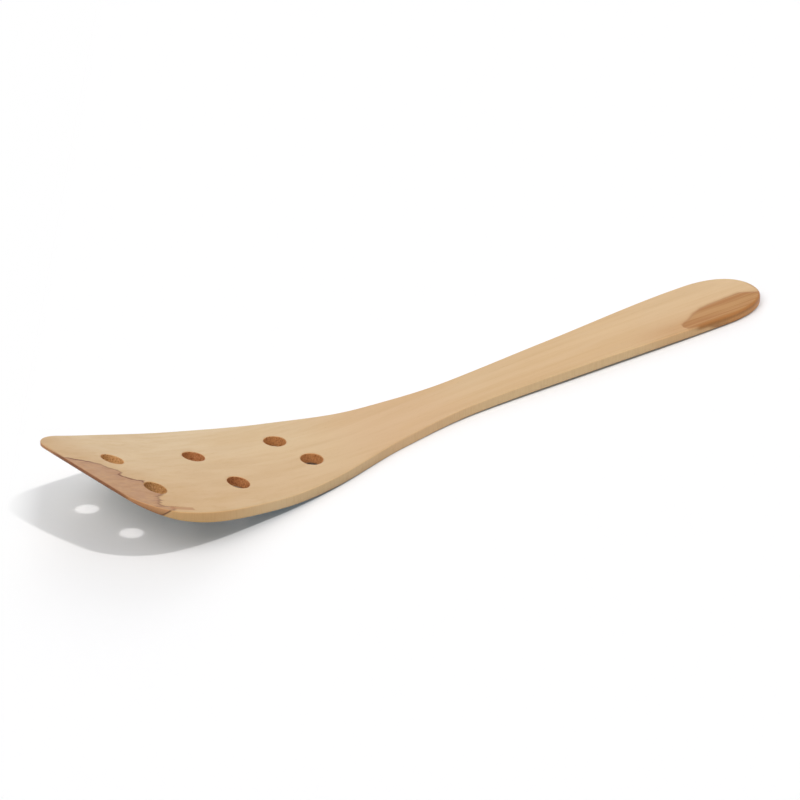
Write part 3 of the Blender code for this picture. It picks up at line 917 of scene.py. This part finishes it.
    gloss = {"Value": known["streaks"], "From Min": STREAK_SPAN[0], "From Max": STREAK_SPAN[1]}
    gloss.update({"To Min": ROUGHNESS[0], "To Max": ROUGHNESS[1]})
    feed(tree, add(tree, "ShaderNodeMapRange", gloss), shader.inputs["Roughness"])
    height = add(tree, "ShaderNodeMath", {0: known["fibres"], 1: known["streaks"]}, operation="ADD")
    relief = add(tree, "ShaderNodeBump", {"Height": height, "Strength": RELIEF, "Distance": RELIEF_DEPTH})
    feed(tree, relief, shader.inputs["Normal"])
    return material


# The ground, the light and the camera


def seen_straight(tree):
    """Above 0 where the camera sees a thing itself or its mirror image, and 0 for light sent on."""
    ray = add(tree, "ShaderNodeLightPath").outputs
    total = 0.0
    for kind in ("Is Camera Ray", "Is Glossy Ray", "Is Transmission Ray"):
        total = add(tree, "ShaderNodeMath", {0: total, 1: ray[kind]}, operation="ADD")
    return total


def white_ground():
    """A wide, matt white sheet. The spatula's shadow on it melts into the white at the far left."""
    material = bpy.data.materials.new("matt_white_paper")
    material.use_nodes = True
    tree = material.node_tree
    shader = tree.nodes["Principled BSDF"]
    shader.inputs["Roughness"].default_value = 1.0
    shader.inputs["Specular IOR Level"].default_value = 0.0
    place = add(tree, "ShaderNodeTexCoord").outputs["Object"]
    leftward = (-math.cos(CAMERA_TURN), math.sin(CAMERA_TURN), 0.0)
    left = add(tree, "ShaderNodeVectorMath", {0: place, 1: leftward}, operation="DOT_PRODUCT")
    melting = {"Value": left.outputs["Value"], "From Min": MELT_FROM, "From Max": MELT_TO}
    melting = add(tree, "ShaderNodeMapRange", melting)
    direct = seen_straight(tree)
    # Soft-edged ovals: one under the whole blade, and one where the blade is close to the ground
    ovals = []
    for middle, reach in ((UNDER_MIDDLE, UNDER_REACH), (CLOSE_MIDDLE, CLOSE_REACH)):
        off = add(tree, "ShaderNodeVectorMath", {0: place, 1: middle}, operation="SUBTRACT")
        off = add(tree, "ShaderNodeVectorMath", {0: off, 1: reach}, operation="DIVIDE")
        off = add(tree, "ShaderNodeVectorMath", {0: off}, operation="LENGTH").outputs["Value"]
        edge = {"Value": off, "From Min": 1.0 + OVAL_EDGE, "From Max": 1.0 - OVAL_EDGE}
        ovals.append(add(tree, "ShaderNodeMapRange", edge))
    under, close = ovals
    # The glow dies away close to the wood, so the ground is darkest where the handle meets it
    clear = add(tree, "ShaderNodeAmbientOcclusion", {"Distance": GLOW_CLEAR}, samples=GLOW_RAYS)
    glow = {"Value": clear.outputs["AO"], "From Min": GLOW_SPAN[0], "From Max": GLOW_SPAN[1]}
    feed(tree, add(tree, "ShaderNodeMapRange", glow), shader.inputs["Emission Strength"])
    tinted = {"Factor": close, "A": linear(GLOW), "B": linear(CLOSE_GLOW)}
    tinted = add(tree, "ShaderNodeMix", tinted, data_type="RGBA")
    sent_back = {"Factor": under, "A": linear(GROUND_SHADE), "B": linear(UNDER_BLADE)}
    sent_back = add(tree, "ShaderNodeMix", sent_back, data_type="RGBA")
    # What light falls on it counts less where it melts, and a glow makes up for it
    for socket, indirect, plain, molten in (
        ("Base Color", sent_back, linear(PAPER), "000000"),
        ("Emission Color", linear("000000"), tinted, "ffffff"),
    ):
        melted = {"Factor": melting, "A": plain, "B": linear(molten)}
        melted = add(tree, "ShaderNodeMix", melted, data_type="RGBA")
        split = {"Factor": direct, "A": indirect, "B": melted}
        feed(tree, add(tree, "ShaderNodeMix", split, data_type="RGBA"), shader.inputs[socket])
    mesh = bpy.data.meshes.new("ground")
    square = ((-1, -1), (1, -1), (1, 1), (-1, 1))
    corners = [(x * GROUND_REACH, y * GROUND_REACH, 0.0) for x, y in square]
    mesh.from_pydata(corners, [], [(0, 1, 2, 3)])
    mesh.materials.append(material)
    ground = bpy.data.objects.new("ground", mesh)
    bpy.context.scene.collection.objects.link(ground)


def light():
    """One small high lamp, and the soft lights of the white room round it."""
    key = bpy.data.lights.new("key", "SUN")
    key.energy = KEY_STRENGTH
    key.angle = KEY_SIZE
    lamp = bpy.data.objects.new("key", key)
    lamp.rotation_euler = Vector(KEY_DIRECTION).to_track_quat("Z", "Y").to_euler()
    bpy.context.scene.collection.objects.link(lamp)

    world = bpy.data.worlds.new("white_room")
    bpy.context.scene.world = world
    world.use_nodes = True
    tree = world.node_tree
    tree.nodes.clear()
    towards = add(tree, "ShaderNodeTexCoord").outputs["Generated"]
    lit = 0.0
    for height, turn, narrowness, brightness in SOFT_LIGHTS:
        level = CAMERA_TURN + math.radians(turn)
        flat = math.cos(math.radians(height))
        middle = (-math.sin(level) * flat, -math.cos(level) * flat, math.sin(math.radians(height)))
        near = add(tree, "ShaderNodeVectorMath", {0: towards, 1: middle}, operation="DOT_PRODUCT")
        off = {0: near, 1: narrowness, 2: -narrowness}
        off = add(tree, "ShaderNodeMath", off, operation="MULTIPLY_ADD")
        soft = add(tree, "ShaderNodeMath", {0: off}, operation="EXPONENT")
        lit = add(tree, "ShaderNodeMath", {0: soft, 1: brightness, 2: lit}, operation="MULTIPLY_ADD")
    seen = {"Factor": seen_straight(tree), "A": lit, "B": 1.0}
    strength = add(tree, "ShaderNodeMix", seen, data_type="FLOAT")
    room = add(tree, "ShaderNodeBackground", {"Color": linear("ffffff"), "Strength": strength})
    add(tree, "ShaderNodeOutputWorld", {"Surface": room})


def camera():
    """The camera, at its place and with its lens."""
    turn, height = CAMERA_TURN, CAMERA_HEIGHT
    right = Vector((math.cos(turn), -math.sin(turn), 0.0))
    level = Vector((math.sin(turn), math.cos(turn), 0.0))
    ahead = level * math.cos(height) - Vector((0.0, 0.0, math.sin(height)))
    up = right.cross(ahead)
    data = bpy.data.cameras.new("camera")
    data.lens = LENS
    data.clip_end = FARTHEST_SEEN
    eye = bpy.data.objects.new("camera", data)
    eye.matrix_world = Matrix((right, up, -ahead)).transposed().to_4x4()
    eye.location = Vector(CAMERA_AIM) - ahead * CAMERA_DISTANCE
    bpy.context.scene.collection.objects.link(eye)
    bpy.context.scene.camera = eye


def main():
    scene = bpy.context.scene
    scene.view_settings.view_transform = "Standard"
    camera()
    light()
    white_ground()

    wood = boxwood_sanded_and_oiled()
    blank = bpy.data.objects.new("flat_blank", blank_mesh())
    scene.collection.objects.link(blank)
    marks = bpy.data.meshes.new("hole_places")
    marks.from_pydata([(x - LENGTH / 2.0, y, 0.0) for x, y in HOLE_PLACES], [], [])
    hole_places = bpy.data.objects.new("hole_places", marks)
    scene.collection.objects.link(hole_places)
    sweep_sizes = {
        "Length": LENGTH,
        "Blade Width": BLADE_WIDTH,
        "Thickness": THICKNESS,
        "Front Thickness": FRONT_THICKNESS,
        "Taper Length": TAPER_LENGTH,
        "Front Bow": FRONT_BOW,
        "Front Skew": FRONT_SKEW,
        "Bend Start": BEND_START,
        "Bend Radius": BEND_RADIUS,
        "Lip Length": LIP_LENGTH,
        "Crown": CROWN,
        "Twist": TWIST,
        "Crown Run": CROWN_RUN,
        "Swell": SWELL,
        "Hollow": HOLLOW,
        "Swell Start": SWELL_START,
        "Grip At": GRIP_AT,
        "Handle At": LENGTH - HANDLE_END,
        "Edge Radius": EDGE_RADIUS,
        "End Radius": END_RADIUS,
        "Edge Share": EDGE_SHARE,
        "Wood": wood,
    }
    hole_sizes = {
        "Hole Places": hole_places,
        "Hole Radius": HOLE_RADIUS,
        "Rim Radius": HOLE_RIM,
        "Reach": CUTTER_REACH,
        "Probe": PROBE,
        "Sliver": SLIVER,
        "Steps Around": HOLE_STEPS,
        "Rim Steps": RIM_STEPS,
        "Wood": wood,
    }
    fit_tree(blank, sweep_tree(sweep_sizes), sweep_sizes)
    fit_tree(blank, drain_hole_tree(hole_sizes), hole_sizes)

    depsgraph = bpy.context.evaluated_depsgraph_get()
    mesh = bpy.data.meshes.new_from_object(
        blank.evaluated_get(depsgraph),
        preserve_all_data_layers=True,
        depsgraph=depsgraph,
    )
    for name in ("upper", "turned", "way_in", "drop", "hole_axis"):
        if name in mesh.attributes:
            mesh.attributes.remove(mesh.attributes[name])
    mesh.shade_smooth()
    blank.modifiers.clear()
    for helper in (blank, hole_places):
        bpy.data.objects.remove(helper)

    spatula = bpy.data.objects.new("wooden_spatula", mesh)
    scene.collection.objects.link(spatula)
    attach(spatula, "root")
    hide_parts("spatula")


main()
